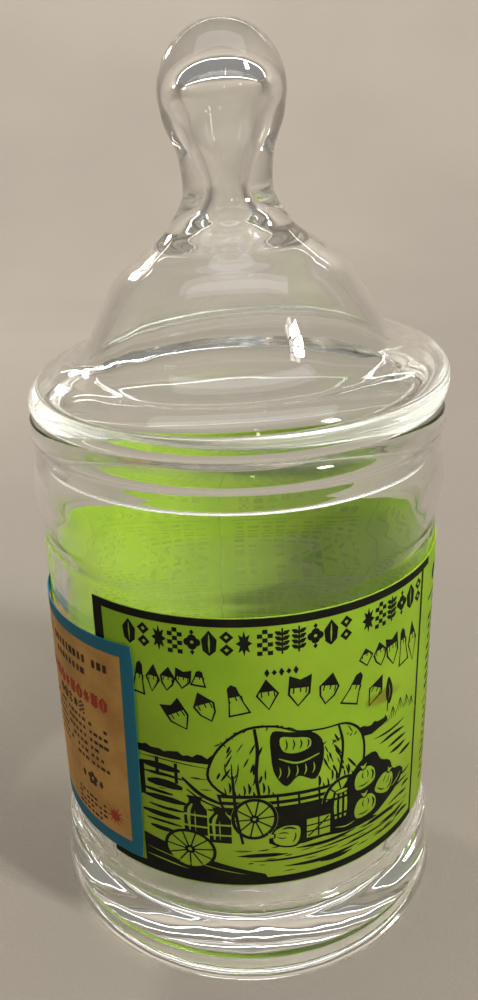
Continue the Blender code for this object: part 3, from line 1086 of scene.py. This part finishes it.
def furrows():
    rng = random.Random(41)
    shapes = []
    rows = [(70 + rng.uniform(-3, 2), 34.6, 12), (71, 32.2, 10), (74, 29.6, 8), (75, 27.4, 7),
            (79, 24.6, 6), (34, 9.2, 12), (37, 7.6, 22), (45, 5.4, 20), (48, 10.4, 16), (53, 8.6, 17),
            (59, 6.6, 18), (66, 9.6, 14), (72, 7.4, 11), (75, 11.4, 9), (76, 15.4, 8), (78, 5.2, 7),
            (42, 11.4, 6), (54, 4.4, 9), (70, 4.6, 9), (63, 11.0, 8), (80, 17.6, 5), (81, 13.4, 4)]
    for x, y, reach in rows:
        sag = rng.uniform(-0.5, 0.5)
        furrow = [(x, y), (x + reach * 0.5, y + sag), (min(x + reach, 85.6), y - sag * 0.5)]
        shapes.append(stroke(furrow, rng.uniform(0.5, 1.25), 0.12))
    for k in range(34):
        x, y = rng.uniform(31, 82), rng.uniform(3.6, 12.0)
        reach = rng.uniform(1.2, 3.6)
        furrow = [(x, y), (x + reach, y + rng.uniform(-0.2, 0.2))]
        shapes.append(stroke(furrow, rng.uniform(0.2, 0.42), 0.2, parts=2))
    for k in range(14):
        x, y = rng.uniform(12, 29), rng.uniform(12.8, 33.6)
        shapes.append(stroke([(x, y), (x + rng.uniform(1.5, 4.0), y + 0.1)], 0.3, 0.2, parts=2))
    return shapes


def wrapPrint():
    w = wrap
    left, foot, top = 0.25, 0.3, labelHeight - 0.2
    near, far = w["frameRight"]
    bars = [bar(left, foot, w["frameLeft"], top), bar(left, labelHeight - w["frameTop"], far + 3.4, top),
            bar(left, foot, far, w["frameFoot"]), bar(near, foot, far, top)]
    return (bars + headingRow() + wingRows() + archedRow() + hedge() + stooks() + furrows() + fence()
            + hayWagon() + wagonWheels() + churns() + sacks() + groundWedge())


# dashes of print on the back panels and the small label

dashes = {"shortest": 0.45, "longest": 0.92, "kept": 0.86}


def dashTree():
    # rows of short dashes whose lengths and gaps vary, in place of small print
    t = Tree("printedRows", "Print", Columns="Int", Rows="Int", Pitch="Float", Leading="Float",
             Height="Float", Seed="Int", Ink="Material")
    given, d = t.given, dashes

    def span(count, step):
        return t.maths("MULTIPLY", t.maths("SUBTRACT", given[count], 1), given[step])
    grid = t.add("GeometryNodeMeshGrid", {"Size X": span("Columns", "Pitch"), "Size Y": span("Rows", "Leading"),
                                          "Vertices X": given["Columns"], "Vertices Y": given["Rows"]})
    dash = t.add("GeometryNodeMeshGrid", {"Size X": 1.0, "Size Y": 1.0, "Vertices X": 2, "Vertices Y": 2})
    spread = t.add("FunctionNodeRandomValue", {2: d["shortest"], 3: d["longest"], "Seed": given["Seed"]},
                   out=1, data_type="FLOAT")
    wide = t.maths("MULTIPLY", spread, given["Pitch"])
    size = t.add("ShaderNodeCombineXYZ", {0: wide, 1: given["Height"], 2: 1.0})
    seed = t.maths("ADD", given["Seed"], 9)
    keep = t.add("FunctionNodeRandomValue", {"Probability": d["kept"], "Seed": seed}, out=3,
                 data_type="BOOLEAN")
    put = t.add("GeometryNodeInstanceOnPoints", {"Points": grid, "Selection": keep, "Instance": dash,
                                                 "Scale": size})
    return t.done(put, given["Ink"])


def printedRows(rows, x, y, columns, count, pitch, leading, height, seed, ink):
    # the dashes' outlines in label millimetres, centred on a place
    flat = rows.made("rows", bpy.data.meshes.new("rows"), Columns=columns, Rows=count, Pitch=pitch,
                     Leading=leading, Height=height, Seed=seed, Ink=ink)
    corners = [(x + v.co.x, y + v.co.y) for v in flat.data.vertices]
    shapes = [area([corners[i] for i in p.vertices]) for p in flat.data.polygons]
    bpy.data.objects.remove(flat)
    return shapes


def wrapBackPrint(rows, ink):
    # panels of print right round the back, each under a rule and a row of ornaments
    shapes = []
    for panel, middle in enumerate((116.0, 170.0, 222.0)):
        wide = 46.0
        for k in range(9):
            shapes += heavyOrnament((k + panel) % 6, middle - 18.4 + 4.6 * k, 67.0, 3.2, 5.0)
        shapes.append(bar(middle - wide / 2, 61.0, middle + wide / 2, 61.7))
        shapes += printedRows(rows, middle, 46.5, 10, 9, 4.4, 2.9, 1.15, 3 + panel, ink)
        shapes.append(bar(middle - wide / 2, 31.0, middle + wide / 2, 31.4))
        shapes += printedRows(rows, middle, 17.5, 12, 9, 3.7, 2.7, 0.95, 13 + panel, ink)
        shapes.append(bar(middle + wide / 2 + 3.0, 2.4, middle + wide / 2 + 3.5, 72.0))
    return shapes


def sidePrint(rows, ink):
    # x runs to the right edge of the small label
    w, h = sideWidth, sideHeight
    right = w - 6.6
    dark, red = [], []
    for k, (count, gap, y, high) in enumerate(((22, 0.6, 51.4, 2.1), (9, 9.0, 47.8, 1.7))):
        dark += printedRows(rows, right - gap - count * 0.95, y, count, 1, 1.9, 1, high, 5 + k, ink)
    for k in range(13):
        red += heavyOrnament((k * 2) % 6, right - 3.0 - 3.1 * k, 41.0, 2.9, 4.3)
    for k in range(5):
        dark += heavyOrnament((k + 3) % 6, right - 12.0 - 2.8 * k, 36.6, 2.5, 3.4)
    for k, (gap, count) in enumerate(((6.0, 4), (15.4, 5), (27.0, 6), (43.0, 8), (57.0, 4))):
        dark += printedRows(rows, right - gap, 27.4, count, 6, 1.9, 2.3, 0.95, 31 + k, ink)
    dark += [disc(right - 10.0 + 1.3 * math.cos(a), 16.2 + 1.3 * math.sin(a), 0.85)
             for a in (0.3, 1.56, 2.81, 4.07, 5.33)]
    dark += [lozenge(right - 6.4, 16.1, 1.6, 2.6), lozenge(right - 13.8, 16.2, 1.6, 2.6)]
    dark += printedRows(rows, right - 11.5, 7.6, 7, 4, 1.9, 1.6, 0.75, 37, ink)
    x, y = right - 2.0, 9.2
    for k in range(11):
        a = k * math.tau / 11
        corners = ((3.3, a), (0.9, a + 0.35), (0.9, a - 0.35))
        red.append(area([(x + r * math.cos(turn), y + r * math.sin(turn)) for r, turn in corners]))
    red.append(disc(x, y, 1.5))
    return dark, red


paperTone = {"green": (0.480, 0.640, 0.055), "deepGreen": (0.360, 0.520, 0.038), "stain": (0.30, 0.14, 0.03),
             "greenThrough": (0.42, 0.70, 0.035), "tanThrough": (0.30, 0.17, 0.06), "tanGlow": 0.12,
             "tan": (0.80, 0.46, 0.135), "deepTan": (0.50, 0.265, 0.065),
             "blue": (0.011, 0.180, 0.280), "paleBlue": (0.02, 0.21, 0.30),
             "ink": (0.006, 0.006, 0.005), "red": (0.42, 0.045, 0.025), "glow": 0.42}

brownSpot = {"x": 71.6, "y": 45.6, "perWidth": 0.145, "perHeight": 0.44}  # in label millimetres


def thinPaper(f, colour, glow, roughness, bumpy, share):
    # part of the light passes through the paper
    face = f.shader(Base_Color=colour, Roughness=roughness, Specular_IOR_Level=0.25, Normal=bumpy)
    through = f.add("BsdfTranslucent", Color=glow, Normal=bumpy)
    return f.either(share, face, through)


def greenPaper():
    f = Finish("limePaper")
    t = paperTone
    flat = f.where(scale=100, source="UV")
    x, y, _ = f.axes(flat)
    cloud = f.noise(flat, 0.05, 4, 0.6)
    fibre = f.noise(f.where(scale=100, squeeze=(1, 2.6, 1), source="UV"), 2.2, 4, 0.65)
    tone = f.blendColour(f.fade(cloud + fibre * 0.25, 0.42, 0.86), t["green"], t["deepGreen"])
    # a brown spot above the far field
    b = brownSpot
    dx, dy = (x - b["x"]) * b["perWidth"], (y - b["y"]) * b["perHeight"]
    spotty = f.fade(dx * dx + dy * dy + (f.noise(flat, 0.35, 3) - 0.5) * 1.5, 1.0, 0.15)
    tone = f.blendColour(spotty * 0.85, tone, t["stain"])
    edge = f.fade(y, 1.6, 0.0) * 0.35
    tone = f.blendColour(edge, tone, t["deepGreen"])
    rough = 0.46 + fibre * 0.22
    bumpy = f.bump(fibre + cloud * 0.5, 0.00006)
    return f.done(thinPaper(f, tone, t["greenThrough"], rough, bumpy, t["glow"]))


def tanPaper():
    f = Finish("tanPaper")
    t = paperTone
    flat = f.where(scale=100, source="UV")
    x, y, _ = f.axes(flat)
    cloud = f.noise(flat, 0.07, 4, 0.62)
    fibre = f.noise(f.where(scale=100, squeeze=(1, 2.2, 1), source="UV"), 2.0, 4, 0.7)
    tone = f.blendColour(f.fade(cloud + fibre * 0.3, 0.40, 0.92), t["tan"], t["deepTan"])
    ragged = (f.noise(flat, 1.6, 2) - 0.5) * 0.22
    b = side["border"]
    across, up, soft = x + ragged, y + ragged, 0.12
    right, top = sideWidth - b, sideHeight - b
    inX = f.fade(across, b - soft, b + soft) * f.fade(across, right + soft, right - soft)
    inY = f.fade(up, b + 0.3, b + 0.55) * f.fade(up, top + soft, top - soft)
    inner = inX * inY
    blue = f.blendColour(fibre * 0.5, t["blue"], t["paleBlue"])
    tone = f.blendColour(inner, blue, tone)
    rough = 0.55 + fibre * 0.2
    bumpy = f.bump(fibre + cloud * 0.4, 0.00007)
    return f.done(thinPaper(f, tone, t["tanThrough"], rough, bumpy, t["tanGlow"]))


def printInk(name, colour, wear):
    f = Finish(name)
    grain = f.noise(f.where(), 5200.0, 3, 0.7)
    cloud = f.noise(f.where(), 130.0, 3, 0.6)
    worn = f.blendColour(f.fade(grain * 0.6 + cloud * 0.6, 0.50, 0.86), colour, wear)
    return f.done(f.shader(Base_Color=worn, Roughness=0.55 + grain * 0.25, Specular_IOR_Level=0.12,
                           Normal=f.bump(grain, 0.00002)))


def labels():
    w, s = wrap, side
    black = printInk("blackInk", paperTone["ink"], (0.016, 0.020, 0.008))
    # painted shade: a darker green copy of the back print on the paper's inner face, for the outer print's
    # shadow in light passing through the paper, partly ink soaked through
    throughShade = printInk("throughShadeInk", (0.27, 0.40, 0.034), (0.35, 0.51, 0.038))
    red = printInk("redInk", paperTone["red"], (0.40, 0.12, 0.05))
    sepia = printInk("sepiaInk", (0.045, 0.030, 0.018), (0.13, 0.075, 0.035))
    rows = dashTree()

    def onWrap(radius):
        return {"radius": radius, "start": w["start"], "ripple": w["ripple"]}

    def onSide(radius):
        corner = {"width": sideWidth, "height": sideHeight, "wider": s["wider"], "taller": s["taller"]}
        return {"radius": radius, "start": s["start"], "turn": s["slant"], "pivot": (sideWidth, 0),
                "ripple": s["ripple"], "corner": corner}
    paper = sheetOfPaper("wrapPaper", wrapWidth, labelHeight, w, greenPaper(), onWrap(w["inside"]))
    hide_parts("wrap_label")
    outer, inner = onWrap(w["inside"] + w["thickness"]), onWrap(w["inside"] - inkThickness - throughShadeGap)
    wrapPieces = [paper, inked("wrapPrint", wrapPrint(), black, outer),
                  inked("wrapBackPrint", wrapBackPrint(rows, black), black, outer),
                  # painted shade of the back print, seen from inside the jar
                  inked("wrapThroughShadePrint", wrapBackPrint(rows, throughShade), throughShade, inner)]
    print("wrap label is printed")
    small = sheetOfPaper("sidePaper", sideWidth, sideHeight, s, tanPaper(), onSide(s["inside"]))
    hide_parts("side_label")
    outer = onSide(s["inside"] + s["thickness"])
    dark, bright = sidePrint(rows, sepia)
    sidePieces = [small, inked("sideDarkPrint", dark, sepia, outer), inked("sideRedPrint", bright, red, outer)]
    for pieces, node, slot in ((wrapPieces, "wrap_label", "green_paper"),
                               (sidePieces, "side_label", "tan_paper")):
        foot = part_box(node)[0][2]
        for piece in pieces:
            piece.data.transform(Matrix.Translation((0, 0, foot)))
            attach(piece, "jar")
        print(node, "pieces are on:", sum(len(p.data.polygons) for p in pieces), "faces")


labelHeight = (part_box("wrap_label")[1][2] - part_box("wrap_label")[0][2]) / mm
sideHeight = (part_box("side_label")[1][2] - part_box("side_label")[0][2]) / mm
wrapWidth = math.radians(wrap["sweep"]) * panelRadius
sideWidth = math.radians(side["sweep"]) * panelRadius


addCamera()
addLights()
print("camera and lights are set")
addStage(seamlessFloor())
glass = blownGlass()
revolve = revolveTree()
jarBody(glass, revolve)
blownLid(glass, groundEnd(), revolve)
print("glass is made")
labels()
